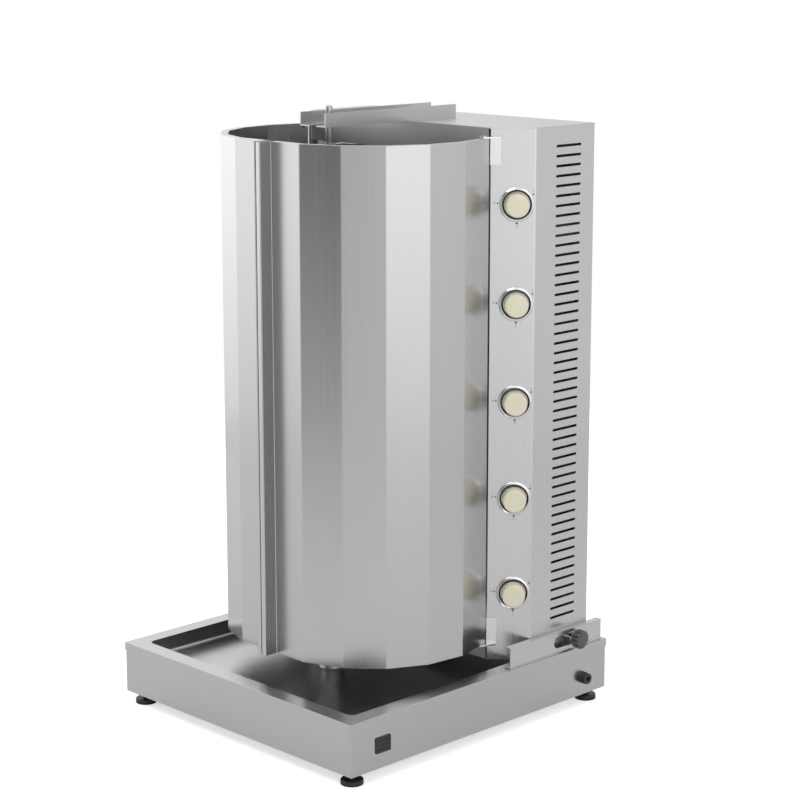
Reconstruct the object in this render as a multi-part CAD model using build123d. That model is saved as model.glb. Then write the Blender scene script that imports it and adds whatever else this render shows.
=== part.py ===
from build123d import *
import os
from math import cos, degrees, hypot, pi, radians, sin, tan

# Gas doner kebab grill: a burner housing that slides on a drip tray, two hinged heat shields
# that close round a vertical spit, five gas taps and a spit drive under the tray.
# Millimetres. +Z is up, the front is -Y, the right-hand side is +X. The origin is the centre of
# the tray's plan at the height of the table.

# Sheet metal
sheet = 1.5
door_sheet = 1.2

# Base and drip tray
tray_width = 559.0
tray_depth = 597.0
lip_width = 29.0
lip_fold = 14.0
tray_drop = 26.0
basin_radius = 12.0
foot_height = 20.0
base_height = 84.5
base_flange = 40.0
foot_inset = 24.5
foot_radius = 18.0
foot_pad = 8.0
foot_stem_radius = 6.0

# Guide rails beside the housing
rail_height = 35.8
rail_reach = 12.0
rail_gap = 0.6
rail_front_setback = 10.0
rail_rear_margin = 10.5
rail_slot_height = 20.0
rail_slot_drop = 17.0

# Burner housing
hinge_from_front = 370.0
body_side_margin = 16.5
corner_width = 72.5
body_rear_margin = 33.2
body_height = 876.0
jamb_depth = 14.0
header_drop = 44.0
sill_height = 42.0
rear_return = 12.0
glide_gap = 0.3

# Cooling slots in the housing's sides
slot_pitch = 16.0
slot_count = 50
slot_length = 60.0
slot_height = 4.3
slot_first = 24.0
slot_from_corner = 78.6

# Heat shield doors
first_facet = 75.5
last_facet = 80.5
bend_angle = 21.0
seam_gap = 1.6
grip_width = 10.0
grip_depth = 23.5
grip_return = 8.0
door_raise = 29.7
door_height = 830.0
door_flange = 12.0
door_end_gap = 3.0
hinge_back = 8.0
hinge_inset = 5.0
hinge_pin_radius = 3.0
hinge_pin_clearance = 0.08
hinge_gap = 0.4
hinge_lug = 2.5
hinge_leaf_width = 17.0
hinge_leaf_height = 45.0
hinge_leaf_sheet = 1.5
hinge_lug_end = 7.0
hinge_lug_side = 6.0
hinge_lug_front = 8.0
hinge_pin_reach = 8.0
hinge_pin_head = 1.6

# Gas taps and knobs
tap_count = 5
tap_pitch = 160.0
tap_first = 79.0
tap_from_corner = 29.25
bezel_radius = 28.0
bezel_crest_radius = 25.0
bezel_height = 6.0
cap_radius = 19.8
cap_tip_radius = 18.6
cap_length = 20.0
cap_lift = 5.0
cap_gap = 1.1
cap_rim = 3.0
cap_flat_depth = 0.8
push_travel = 3.5
stem_radius = 4.0
stem_clearance = 0.08
stem_grip = 10.0
stem_depth = 18.0
panel_hole_radius = 10.5
valve_size = 24.0
valve_length = 30.0
valve_setback = 6.0
collar_radius = 8.5
collar_length = 4.0
manifold_radius = 8.0
manifold_setback = 52.0
manifold_margin = 30.0
pipe_radius = 3.0
pipe_bend = 8.0
pipe_drop = 30.0

# Burners
burner_side_room = 78.0
burner_height = 136.0
burner_depth = 40.0
burner_setback = 14.0
burner_lip = 8.0
plaque_count = 4
plaque_thickness = 13.0
plaque_gap = 1.0
injector_length = 12.0
injector_radius = 6.0
guard_wire_radius = 1.5
guard_wire_count = 15
guard_rail_radius = 2.0
guard_rail_inset = 8.0
guard_weld = 1.2
guard_overhang = 5.0
guard_pin_outset = 3.0
guard_standoff = 7.0
rack_depth = 20.0

# Gas inlet at the back of the housing
inlet_radius = 10.5
inlet_length = 30.0
inlet_height = 60.0

# Clamp studs and clamp knobs
slide_travel = 45.0
stud_radius = 4.0
stud_from_corner = 95.9
stud_end_play = 0.5
stud_thread_play = 0.05
clamp_hub_radius = 10.0
clamp_hub_length = 5.0
clamp_head_radius = 16.0
clamp_head_length = 16.5
clamp_flutes = 12
clamp_flute_radius = 2.4
clamp_flute_out = 0.6
clamp_edge = 1.5
clamp_end_wall = 4.0
clamp_gap = 0.3

# Spit and its drive
spit_from_hinge = 150.0
spit_bar = 16.0
spit_pin_radius = 6.0
spit_pin_length = 60.0
plate_radius = 90.0
plate_thickness = 3.0
plate_lift = 30.0
plate_hub_radius = 20.0
plate_hub_height = 18.0
socket_radius = 14.0
socket_play = 0.3
socket_rise = 26.0
socket_depth = 32.0
boss_wall = 5.0
boss_height = 18.0
boss_gap = 2.0
bearing_wall = 4.0
bearing_clearance = 0.06
bearing_flange = 3.0
gear_module = 1.5
gear_teeth = 60
pinion_teeth = 12
gear_width = 8.0
gear_root = 1.25
gear_tip = 0.8
tooth_root_share = 0.31
tooth_tip_share = 0.11
gear_drop = 6.5
gear_backlash = 0.25
bracket_drop = 20.5
bracket_sheet = 2.0
bracket_margin = 12.0
bracket_width = 84.0
bracket_tab = 12.0
motor_radius = 29.0
motor_height = 30.0
motor_shaft_radius = 3.0
motor_shaft_grip = 12.0

# Guide arm over the spit
arm_width = 60.0
arm_wall = 22.0
arm_sheet = 2.0
arm_overhang = 35.0
arm_slot_play = 1.5
arm_on_cover = 110.0

# Switch and mains inlet on the right-hand wall of the base
switch_from_front = 68.5
switch_z = 58.0
switch_length = 27.0
switch_width = 21.0
switch_rim = 2.5
switch_wall = 2.0
switch_depth = 14.0
rocker_gap = 0.4
rocker_pivot_radius = 1.5
rocker_pivot_depth = 3.0
rocker_low_end = 0.8
rocker_crown = 0.6
rocker_swing = 16.0
gland_from_back = 58.5
gland_z = 50.0
gland_radius = 9.0
gland_bore_radius = 4.0
gland_nut_length = 6.0
gland_cap_length = 6.0
gland_inner_length = 8.0
gland_lock_length = 3.5

# Screws
screw_radius = 4.0
screw_head = 2.2
screw_slot = 1.0
back_screw_rows = 5
back_screw_margin = 30.0
arm_screw_spread = 18.0
arm_screw_front = 45.0
arm_screw_rear = 15.0
cover_screw_rows = 3
cover_screw_margin = 80.0
cover_screw_inset = 34.0

# Places worked out from the sizes above
half_width = tray_width / 2 - body_side_margin
burner_width = 2 * (half_width - burner_side_room)
lip_z = foot_height + base_height + sheet
tray_floor_z = lip_z - tray_drop
rail_z = lip_z + rail_height
hinge_x = half_width - corner_width * cos(pi / 4)
hinge_y = -tray_depth / 2 + hinge_from_front
corner_y = hinge_y + corner_width * sin(pi / 4)
back_y = tray_depth / 2 - body_rear_margin
body_z = lip_z + glide_gap
body_top = lip_z + body_height
panel_top = body_top - sheet
door_z = lip_z + door_raise
door_top = door_z + door_height
spit_y = hinge_y - spit_from_hinge
stud_y = corner_y + stud_from_corner
stud_z = rail_z - rail_slot_drop
rail_face = half_width + rail_reach
burner_y = hinge_y + burner_setback
switch_y = -tray_depth / 2 + switch_from_front
gland_y = tray_depth / 2 - gland_from_back
tap_heights = [rail_z + tap_first + tap_pitch * n for n in range(tap_count)]


def block(x0, x1, y0, y1, z0, z1):
    """A plain block between two corners."""
    return Pos((x0 + x1) / 2, (y0 + y1) / 2, (z0 + z1) / 2) * Box(x1 - x0, y1 - y0, z1 - z0)


def post(x, y, z0, z1, radius):
    """An upright cylinder."""
    return Pos(x, y, (z0 + z1) / 2) * Cylinder(radius, z1 - z0)


def across(x0, x1, y, z, radius):
    """A cylinder along X."""
    return Pos((x0 + x1) / 2, y, z) * Rot(0, 90, 0) * Cylinder(radius, x1 - x0)


def along(x, y0, y1, z, radius):
    """A cylinder along Y."""
    return Pos(x, (y0 + y1) / 2, z) * Rot(90, 0, 0) * Cylinder(radius, y1 - y0)


def prism(points, z0, z1):
    """An upright prism over a closed outline."""
    return Pos(0, 0, z0) * extrude(make_face(Polyline(*points, close=True)), z1 - z0)


def inner_line(points, thickness):
    """The line that lies one thickness to the left of a folded line, mitred at each bend."""
    result = []
    last = len(points) - 1
    for n, (x, y) in enumerate(points):
        normals = []
        for a, b in ((n - 1, n), (n, n + 1)):
            if a >= 0 and b <= last:
                dx, dy = points[b][0] - points[a][0], points[b][1] - points[a][1]
                normals.append((-dy / hypot(dx, dy), dx / hypot(dx, dy)))
        nx, ny = sum(v[0] for v in normals), sum(v[1] for v in normals)
        size = hypot(nx, ny)
        nx, ny = nx / size, ny / size
        reach = thickness / (nx * normals[0][0] + ny * normals[0][1])
        result.append((x + nx * reach, y + ny * reach))
    return result


def folded(points, thickness, z0, z1):
    """A strip of sheet metal folded along a line, its thickness to the left of the line."""
    return prism(points + inner_line(points, thickness)[::-1], z0, z1)


def mirrored(shape):
    """The same piece on the other side of the middle plane."""
    return mirror(shape, about=Plane.YZ)


def save(name, *solids):
    """Write one node. Several solids in one node stay separate."""
    made = Compound(children=list(solids)) if len(solids) > 1 else solids[0]
    export_step(made, f"parts/{name}.step")


def fastener(location):
    """A pan-head screw head with a cross-cut, standing on a face."""
    head = Cylinder(screw_radius, screw_head, align=(Align.CENTER, Align.CENTER, Align.MIN))
    head = fillet(head.edges().sort_by(Axis.Z)[-1], screw_head * 0.6)
    top = Pos(0, 0, screw_head)
    cut = top * Box(screw_radius, screw_slot, screw_slot) + top * Box(screw_slot, screw_radius, screw_slot)
    return location * (head - cut)


# Base and drip tray


def base_box():
    """Folded skirt under the tray, with an inward flange all round its foot."""
    x, y = tray_width / 2 - sheet, tray_depth / 2 - sheet
    top = foot_height + base_height
    shell = block(-x, x, -y, y, foot_height, top)
    shell -= block(-x + sheet, x - sheet, -y + sheet, y - sheet, foot_height + sheet, top)
    fx, fy = x - base_flange, y - base_flange
    shell -= block(-fx, fx, -fy, fy, foot_height, foot_height + sheet)
    shell -= block(x - 2 * sheet, x + sheet, switch_y - switch_length / 2, switch_y + switch_length / 2,
                   switch_z - switch_width / 2, switch_z + switch_width / 2)
    return shell - across(x - 2 * sheet, x + sheet, gland_y, gland_z, gland_radius - 2)


def base_cover():
    """Bottom plate that closes the drive compartment."""
    play = 1.0
    x, y = tray_width / 2 - 2 * sheet - play, tray_depth / 2 - 2 * sheet - play
    return block(-x, x, -y, y, foot_height + sheet, foot_height + 2 * sheet)


def drip_tray():
    """Pressed tray: basin, flat lip, turned-down edge and a raised collar round the spit drive."""
    x, y = tray_width / 2, tray_depth / 2
    bx, by = x - lip_width, y - lip_width
    floor_z = tray_floor_z - sheet
    lip = block(-x, x, -y, y, lip_z - lip_fold, lip_z)
    lip -= block(-x + sheet, x - sheet, -y + sheet, y - sheet, lip_z - lip_fold, lip_z - sheet)
    outer = block(-bx - sheet, bx + sheet, -by - sheet, by + sheet, floor_z, lip_z)
    outer = fillet(outer.edges().filter_by(Axis.Z), basin_radius + sheet)
    basin = block(-bx, bx, -by, by, tray_floor_z, lip_z)
    basin = fillet(basin.edges().filter_by(Axis.Z), basin_radius)
    bore = socket_radius + boss_gap
    collar = post(0, spit_y, floor_z, tray_floor_z + boss_height, bore + boss_wall)
    return (lip + outer - basin) + collar - post(0, spit_y, floor_z - 1, lip_z, bore)


def feet():
    """Four turned feet, screwed up against the base flange."""
    made = []
    for x in (-1, 1):
        for y in (-1, 1):
            cx = x * (tray_width / 2 - foot_inset)
            cy = y * (tray_depth / 2 - foot_inset)
            pad = fillet(post(cx, cy, 0, foot_pad, foot_radius).edges().sort_by(Axis.Z)[-1], 2)
            made.append(pad + post(cx, cy, foot_pad / 2, foot_height, foot_stem_radius))
    return made


def guide_rail():
    """Right-hand rail: a folded channel on the lip, with a slot for the clamp stud."""
    y0, y1 = hinge_y - rail_front_setback, tray_depth / 2 - rail_rear_margin
    x0 = half_width + rail_gap
    rail = block(x0, rail_face, y0, y1, lip_z, rail_z)
    rail -= block(x0, rail_face - sheet, y0, y1, lip_z + sheet, rail_z - sheet)
    end = rail_slot_height / 2
    front = stud_y - slide_travel - stud_radius - stud_end_play + end
    rear = stud_y + stud_radius + stud_end_play - end
    cut = block(x0 + rail_reach / 2, rail_face, front, rear, stud_z - end, stud_z + end)
    for y in (front, rear):
        cut += across(x0 + rail_reach / 2, rail_face, y, stud_z, end)
    return rail - cut


# Burner housing


def side_panel():
    """Right-hand side: jamb, knob panel at 45 degrees, slotted side and rear return in one sheet."""
    line = [(hinge_x, hinge_y + jamb_depth), (hinge_x, hinge_y), (half_width, corner_y),
            (half_width, back_y - sheet), (half_width - rear_return, back_y - sheet)]
    panel = folded(line, sheet, body_z, panel_top)
    middle = corner_y + slot_from_corner
    flat = (slot_length - slot_height) / 2
    slots = []
    for n in range(slot_count):
        z = rail_z + slot_first + slot_pitch * n
        slots.append(block(half_width - 3 * sheet, half_width + sheet, middle - flat, middle + flat,
                           z - slot_height / 2, z + slot_height / 2))
        for y in (middle - flat, middle + flat):
            slots.append(across(half_width - 3 * sheet, half_width + sheet, y, z, slot_height / 2))
    return panel - slots


def knob_place(z, depth=0.0):
    """The frame of a tap on the right-hand knob panel: local Z points out of the panel."""
    x = half_width - tap_from_corner * cos(pi / 4)
    y = corner_y - tap_from_corner * sin(pi / 4)
    out = (sin(pi / 4), -cos(pi / 4), 0)
    return Plane(origin=(x - out[0] * depth, y - out[1] * depth, z),
                 x_dir=(cos(pi / 4), sin(pi / 4), 0), z_dir=out)


def on_knob(z, start, end, radius):
    """A cylinder on a tap's axis between two heights over the panel's face."""
    return knob_place(z) * Pos(0, 0, (start + end) / 2) * Cylinder(radius, end - start)


def right_panel():
    panel = side_panel()
    panel -= [on_knob(z, -2 * sheet, sheet, panel_hole_radius) for z in tap_heights]
    return panel - across(half_width - 3 * sheet, half_width + sheet, stud_y, stud_z, stud_radius)


def left_panel():
    panel = side_panel()
    return mirrored(panel - across(half_width - 3 * sheet, half_width + sheet, stud_y, stud_z, stud_radius))


def back_panel():
    """Flat back sheet with the hole for the gas inlet."""
    x = half_width - sheet
    plate = block(-x, x, back_y - sheet, back_y, body_z + sheet, panel_top)
    return plate - along(inlet_x(), back_y - 2 * sheet, back_y + sheet, body_z + inlet_height, inlet_radius)


def body_outline(inset, back_inset):
    """Plan of the housing: a rectangle with its two front corners cut off at 45 degrees."""
    lean = inset * tan(pi / 8)
    right = [(hinge_x - lean, hinge_y + inset), (half_width - inset, corner_y + lean),
             (half_width - inset, back_y - back_inset)]
    return right + [(-x, y) for x, y in right[::-1]]


def top_cover():
    """Lid of the housing with a turned-down header over the top burner."""
    x = hinge_x - 2 * sheet
    lid = prism(body_outline(0, 0), panel_top, body_top)
    return lid + block(-x, x, hinge_y, hinge_y + sheet, panel_top - header_drop, panel_top)


def housing_floor():
    """Floor of the housing, which glides on the tray's lip, with a turned-up sill in front."""
    x = hinge_x - 2 * sheet
    play = 0.1
    floor = prism(body_outline(sheet + play, 2 * sheet + play), body_z, body_z + sheet)
    notch = block(hinge_x - play, hinge_x + sheet + play, hinge_y, hinge_y + jamb_depth + play,
                  body_z, body_z + sheet)
    floor = floor - notch - mirrored(notch)
    return floor + block(-x, x, hinge_y + sheet, hinge_y + 2 * sheet, body_z, body_z + sill_height)


def burner_rack():
    """Two angle uprights that carry the burners between floor and lid."""
    x0 = burner_width / 2 + 0.5
    y0 = burner_y - sheet - 0.5
    upright = block(x0, x0 + sheet, y0, y0 + rack_depth, body_z + sheet, panel_top)
    upright += block(x0, hinge_x - sheet - 0.5, y0, y0 + sheet, body_z + sheet, panel_top)
    return [upright, mirrored(upright)]


# Burners


def burner(z):
    """Pressed burner case, open in front, with its injector holder at the right-hand end."""
    x, h = burner_width / 2, burner_height / 2
    case = block(-x, x, burner_y, burner_y + burner_depth, z - h, z + h)
    inside = block(-x + sheet, x - sheet, burner_y + sheet, burner_y + burner_depth - sheet,
                   z - h + sheet, z + h - sheet)
    window = block(-x + burner_lip, x - burner_lip, burner_y - sheet, burner_y + 2 * sheet,
                   z - h + burner_lip, z + h - burner_lip)
    y = valve_point()[1]
    holder = across(x - sheet, x + injector_length, y, z - pipe_drop, injector_radius)
    bore = across(x - sheet, x + injector_length, y, z - pipe_drop, pipe_radius + 0.1)
    return case - inside - window + holder - bore


def ceramic_plaques():
    """Flat ceramic plaques, side by side behind each burner's front edge."""
    made = []
    play = 0.5
    room = burner_width - 2 * sheet - 2 * play
    width = (room - plaque_gap * (plaque_count - 1)) / plaque_count
    h = burner_height / 2 - sheet - play
    for z in tap_heights:
        for n in range(plaque_count):
            x = -room / 2 + n * (width + plaque_gap)
            y = burner_y + sheet + 0.2
            made.append(block(x, x + width, y, y + plaque_thickness, z - h, z + h))
    return made


def burner_guards():
    """A welded wire guard in front of each burner."""
    made = []
    half, reach = burner_width / 2 - burner_lip, burner_height / 2 - burner_lip / 2
    y = burner_y - guard_standoff
    for z in tap_heights:
        ends = [z - reach + guard_rail_inset, z + reach - guard_rail_inset]
        rails = [across(-half - guard_overhang, half + guard_overhang, y, end, guard_rail_radius) for end in ends]
        bars = []
        for n in range(guard_wire_count):
            x = -half + n * 2 * half / (guard_wire_count - 1)
            bars.append(post(x, y - guard_weld, z - reach, z + reach, guard_wire_radius))
        pins = [block(x - 2, x + 2, y, burner_y, end - 1, end + 1)
                for x in (-half - guard_pin_outset, half + guard_pin_outset) for end in ends]
        made.append(rails[0].fuse(rails[1], *bars, *pins))
    return made


# Gas line


def valve_point():
    place = knob_place(0, valve_setback + valve_length / 2)
    return place.origin.X, place.origin.Y


def manifold_point():
    place = knob_place(0, manifold_setback)
    return place.origin.X, place.origin.Y


def inlet_x():
    return manifold_point()[0]


def gas_manifold():
    """Upright supply tube with a spigot for each tap and a branch to the inlet."""
    x, y = manifold_point()
    z0 = body_z + inlet_height - manifold_radius - 4
    tube = post(x, y, z0, tap_heights[-1] + manifold_margin, manifold_radius)
    back = valve_setback + valve_length
    for z in tap_heights:
        tube += on_knob(z, -manifold_setback, -back, manifold_radius * 0.7)
    return tube + along(x, y, back_y - 8, body_z + inlet_height, manifold_radius * 0.8)


def gas_valves():
    """Five brass taps behind the knob panel, each bored for its stem."""
    made = []
    for z in tap_heights:
        body = knob_place(z, valve_setback + valve_length / 2) * Box(valve_size, valve_size, valve_length)
        body = fillet(body.edges().filter_by(Axis.Z), 3)
        bore = stem_radius + stem_clearance
        body -= on_knob(z, -valve_setback - stem_depth - push_travel - 1, 0, bore)
        made.append(body)
    return made


def feed_pipes():
    """A bent tube from each tap to its burner's injector holder."""
    made = []
    x, y = valve_point()
    for z in tap_heights:
        start = (x, y, z - valve_size / 2)
        corner = (x, y, z - pipe_drop)
        end = (burner_width / 2 + 2, y, z - pipe_drop)
        line = FilletPolyline(start, corner, end, radius=pipe_bend)
        section = Plane(origin=start, z_dir=(0, 0, -1)) * Circle(pipe_radius)
        made.append(sweep(section, path=line))
    return made


def gas_inlet():
    """Threaded nipple with a hexagon nut, for the gas hose."""
    x, z = inlet_x(), body_z + inlet_height
    body = along(x, back_y - 8, back_y + inlet_length, z, inlet_radius)
    nut_length = 8.0
    nut = Pos(x, back_y + nut_length / 2, z) * Rot(90, 0, 0) * extrude(
        RegularPolygon(inlet_radius + 5, 6), nut_length / 2, both=True)
    bore = along(x, back_y, back_y + inlet_length, z, inlet_radius - 4)
    return body + nut - bore


# Taps


def knob_bezels():
    """Chromed dished rings on the knob panel, one round each cap."""
    inner = cap_radius + cap_gap
    profile = make_face(Polyline((inner, 0), (bezel_radius, 0), (bezel_radius, 1.2),
                                 (bezel_crest_radius, bezel_height), (inner, bezel_height - 2.2),
                                 close=True))
    ring = revolve(Plane.XZ * profile, Axis.Z)
    return [knob_place(z) * ring for z in tap_heights]


def knob_cap(z):
    """Moulded cap: slightly tapered, with a rounded rim, a flat on each side and a hub bore."""
    cap = extrude(Circle(cap_radius), cap_length, taper=degrees((cap_radius - cap_tip_radius) / cap_length))
    cap = fillet(cap.edges().sort_by(Axis.Z)[-1], cap_rim)
    for side in (-1, 1):
        flat = Pos(side * (1.5 * cap_radius - cap_flat_depth), -cap_radius / 2, cap_length / 2)
        cap -= flat * Box(cap_radius, cap_radius, cap_length + 2)
    cap -= Pos(0, 0, stem_grip / 2) * Cylinder(stem_radius, stem_grip)
    return knob_place(z, -cap_lift) * cap


def valve_stem(z):
    """Steel stem from inside the tap up into the cap."""
    return on_knob(z, -valve_setback - stem_depth, cap_lift + stem_grip, stem_radius)


def push_collar(z):
    """Spring collar on the stem, which moves in with the knob but doesn't turn."""
    start = -valve_setback + push_travel + 0.5
    ring = on_knob(z, start, start + collar_length, collar_radius)
    return ring - on_knob(z, start, start + collar_length, stem_radius + stem_clearance)


# Heat shield doors


def door_line():
    """Outer line of the right-hand door from its grip at the seam to its hinge edge."""
    bends = [bend_angle * n for n in range(6)]
    reach = sum(cos(radians(a)) for a in bends[1:5])
    facet = (hinge_x - first_facet - last_facet * cos(radians(bends[5]))) / reach
    lengths = [first_facet, facet, facet, facet, facet, last_facet]
    x = y = 0.0
    points = [(x, y)]
    for angle, length in zip(bends, lengths):
        x, y = x + length * cos(radians(angle)), y + length * sin(radians(angle))
        points.append((x, y))
    shift = hinge_y - y
    points = [(px, py + shift) for px, py in points]
    (x0, y0), (x1, y1) = points[-2], points[-1]
    share = 1 - door_end_gap / last_facet
    points[-1] = (x0 + (x1 - x0) * share, y0 + (y1 - y0) * share)
    return points


def hinge_point():
    """Axis of the right-hand door's hinge pins."""
    (x0, y0), (x1, y1) = door_line()[-2:]
    ux, uy = (x1 - x0) / hypot(x1 - x0, y1 - y0), (y1 - y0) / hypot(x1 - x0, y1 - y0)
    return x1 - ux * hinge_back - uy * hinge_inset, y1 - uy * hinge_back + ux * hinge_inset


def door():
    """Right-hand door: one sheet folded into facets, a box grip and a flange at top and bottom."""
    line = door_line()
    seam, front = seam_gap / 2, line[0][1]
    grip = [(seam, front + grip_return), (seam, front - grip_depth),
            (seam + grip_width, front - grip_depth), (seam + grip_width, front)]
    made = folded(grip + line[1:], door_sheet, door_z, door_top)
    rim = [(seam + grip_width, front)] + line[1:]
    for z in (door_z, door_top - door_sheet):
        made += folded(rim, door_flange, z, z + door_sheet)
    x, y = hinge_point()
    return made - post(x, y, door_z - 1, door_top + 1, hinge_pin_radius + hinge_pin_clearance)


def hinge_plate(at_top):
    """Leaf on the knob panel with a lug that carries the hinge pin beyond the door's end."""
    x, y = hinge_point()
    lug_z = door_top + hinge_gap if at_top else door_z - hinge_gap - hinge_lug
    ux = hinge_leaf_width * cos(pi / 4)
    leaf_line = [(hinge_x + ux, hinge_y + ux), (hinge_x, hinge_y)]
    z0 = lug_z + hinge_lug - hinge_leaf_height if at_top else lug_z
    leaf = folded(leaf_line, hinge_leaf_sheet, z0, z0 + hinge_leaf_height)
    tip = hinge_leaf_sheet / cos(pi / 4)
    side, front = hinge_lug_side, hinge_lug_front
    lug = prism([(hinge_x + ux, hinge_y + ux - tip), (hinge_x, hinge_y - tip / 2),
                 (x - hinge_lug_end, y + side), (x - hinge_lug_end, y - side),
                 (x - side / 2, y - front), (x + side, y - front),
                 (hinge_x + ux + front / 2, hinge_y + ux - tip - front / 2)], lug_z, lug_z + hinge_lug)
    return leaf + lug - post(x, y, lug_z - 1, lug_z + hinge_lug + 1, hinge_pin_radius)


def hinge_pin(at_top):
    """Pin through the lug and the door's flange, with a low round head."""
    x, y = hinge_point()
    if at_top:
        z0, z1 = door_top - hinge_pin_reach, door_top + hinge_gap + hinge_lug
        head = post(x, y, z1, z1 + hinge_pin_head, hinge_pin_radius + 2)
    else:
        z0, z1 = door_z - hinge_gap - hinge_lug, door_z + hinge_pin_reach
        head = post(x, y, z0 - hinge_pin_head, z0, hinge_pin_radius + 2)
    return post(x, y, z0, z1, hinge_pin_radius) + head


# Clamp knobs


def clamp_stud():
    """Stud fixed in the side panel, through the rail's slot."""
    x0 = half_width - 3 * sheet
    tip = rail_face + clamp_gap + clamp_hub_length + clamp_head_length - clamp_end_wall
    stud = across(x0 - 4, tip, stud_y, stud_z, stud_radius)
    return stud + across(x0 - 4, half_width - sheet, stud_y, stud_z, stud_radius + 4)


def clamp_knob():
    """Fluted hand knob with a hub that bears on the rail."""
    x0 = rail_face + clamp_gap
    x1 = x0 + clamp_hub_length
    x2 = x1 + clamp_head_length
    head = across(x1, x2, stud_y, stud_z, clamp_head_radius)
    head = chamfer(head.edges().filter_by(GeomType.CIRCLE), clamp_edge)
    for n in range(clamp_flutes):
        angle = 2 * pi * n / clamp_flutes
        y = stud_y + (clamp_head_radius + clamp_flute_out) * cos(angle)
        z = stud_z + (clamp_head_radius + clamp_flute_out) * sin(angle)
        head -= across(x1 - 1, x2 + 1, y, z, clamp_flute_radius)
    head += across(x0, x1, stud_y, stud_z, clamp_hub_radius)
    bore = stud_radius + stud_thread_play
    return head - across(x0 - 1, x2 - clamp_end_wall, stud_y, stud_z, bore)


# Spit and drive


def plate_z():
    return lip_z + plate_lift


def spit():
    """Square bar with a round pin at its top."""
    foot = tray_floor_z + socket_rise - socket_depth
    neck = body_top + arm_wall - spit_pin_length + 10
    half = spit_bar / 2
    bar = block(-half, half, spit_y - half, spit_y + half, foot, neck)
    bar = chamfer(bar.edges().filter_by(Axis.Z), 1.0)
    pin = post(0, spit_y, neck, neck + spit_pin_length, spit_pin_radius)
    return bar + chamfer(pin.edges().sort_by(Axis.Z)[-1], 2.0)


def meat_plate():
    """Round plate with a hub, pinned on the bar."""
    z = plate_z()
    disc = post(0, spit_y, z, z + plate_thickness, plate_radius)
    disc = fillet(disc.edges().filter_by(GeomType.CIRCLE), 1.2)
    disc += post(0, spit_y, z - plate_hub_height, z + plate_thickness / 2, plate_hub_radius)
    half = spit_bar / 2 + socket_play / 2
    return disc - block(-half, half, spit_y - half, spit_y + half, z - plate_hub_height, z + plate_thickness)


def drive_levels():
    """Heights of the gear, the bracket's plate and the motor's foot, under the tray's floor."""
    under = tray_floor_z - sheet
    gear_top = under - gear_drop
    plate_top = under - bracket_drop
    return gear_top - gear_width, gear_top, plate_top - bracket_sheet, plate_top


def gear_distance():
    return gear_module * (gear_teeth + pinion_teeth) / 2 + gear_backlash


def gear_outline(teeth, turn):
    """Straight-sided teeth, thin enough to run with backlash."""
    pitch = gear_module * teeth / 2
    root, tip = pitch - gear_root * gear_module, pitch + gear_tip * gear_module
    step = 2 * pi / teeth
    points = []
    for n in range(teeth):
        for radius, share in ((root, -tooth_root_share), (tip, -tooth_tip_share),
                              (tip, tooth_tip_share), (root, tooth_root_share)):
            angle = turn + (n + share) * step
            points.append((radius * cos(angle), radius * sin(angle)))
    return points


def drive_gear():
    z0, z1, _, _ = drive_levels()
    wheel = Pos(0, spit_y, 0) * prism(gear_outline(gear_teeth, 0), z0, z1)
    return wheel - post(0, spit_y, z0 - 1, z1 + 1, socket_radius)


def drive_pinion():
    """Pinion and motor shaft in one piece."""
    z0, z1, plate_bottom, _ = drive_levels()
    x = gear_distance()
    wheel = Pos(x, spit_y, 0) * prism(gear_outline(pinion_teeth, pi / pinion_teeth + pi), z0, z1)
    return wheel + post(x, spit_y, plate_bottom - motor_shaft_grip, z1 + 1, motor_shaft_radius)


def spit_socket():
    """Output shaft with a square socket for the spit."""
    _, _, plate_bottom, _ = drive_levels()
    top = tray_floor_z + socket_rise
    shaft = post(0, spit_y, plate_bottom - bearing_flange, top, socket_radius)
    half = spit_bar / 2 + socket_play
    return shaft - block(-half, half, spit_y - half, spit_y + half, top - socket_depth, top)


def socket_bearing():
    """Flanged bush pressed into the bracket."""
    z0, _, plate_bottom, _ = drive_levels()
    bore = socket_radius + bearing_clearance
    bush = post(0, spit_y, plate_bottom - bearing_flange, z0 - 0.5, bore + bearing_wall)
    bush += post(0, spit_y, plate_bottom - bearing_flange, plate_bottom, bore + 2 * bearing_wall)
    return bush - post(0, spit_y, plate_bottom - bearing_flange - 1, z0, bore)


def motor_bracket():
    """Folded bridge under the tray's floor that carries the bush and the motor."""
    _, _, plate_bottom, plate_top = drive_levels()
    under = tray_floor_z - sheet
    reach = gear_module * gear_teeth / 2 + bracket_margin
    x0, x1 = -reach, gear_distance() + motor_radius + bracket_margin
    y0, y1 = spit_y - bracket_width / 2, spit_y + bracket_width / 2
    made = block(x0, x1, y0, y1, plate_bottom, plate_top)
    for x, side in ((x0, -1), (x1, 1)):
        inner, outer = sorted((x, x - side * bracket_sheet))
        made += block(inner, outer, y0, y1, plate_bottom, under)
        inner, outer = sorted((x - side * bracket_sheet, x + side * bracket_tab))
        made += block(inner, outer, y0, y1, under - bracket_sheet, under)
    bore = socket_radius + bearing_clearance + bearing_wall
    made -= post(0, spit_y, plate_bottom - 1, plate_top + 1, bore)
    return made - post(gear_distance(), spit_y, plate_bottom - 1, plate_top + 1, motor_shaft_radius + 2)


def drive_motor():
    """Geared motor in a round can, hung under the bracket."""
    _, _, plate_bottom, _ = drive_levels()
    x = gear_distance()
    can = post(x, spit_y, plate_bottom - motor_height, plate_bottom, motor_radius)
    can = fillet(can.edges().sort_by(Axis.Z)[0], 3)
    bore = motor_shaft_radius + bearing_clearance
    return can - post(x, spit_y, plate_bottom - motor_shaft_grip - 1, plate_bottom + 1, bore)


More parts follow.
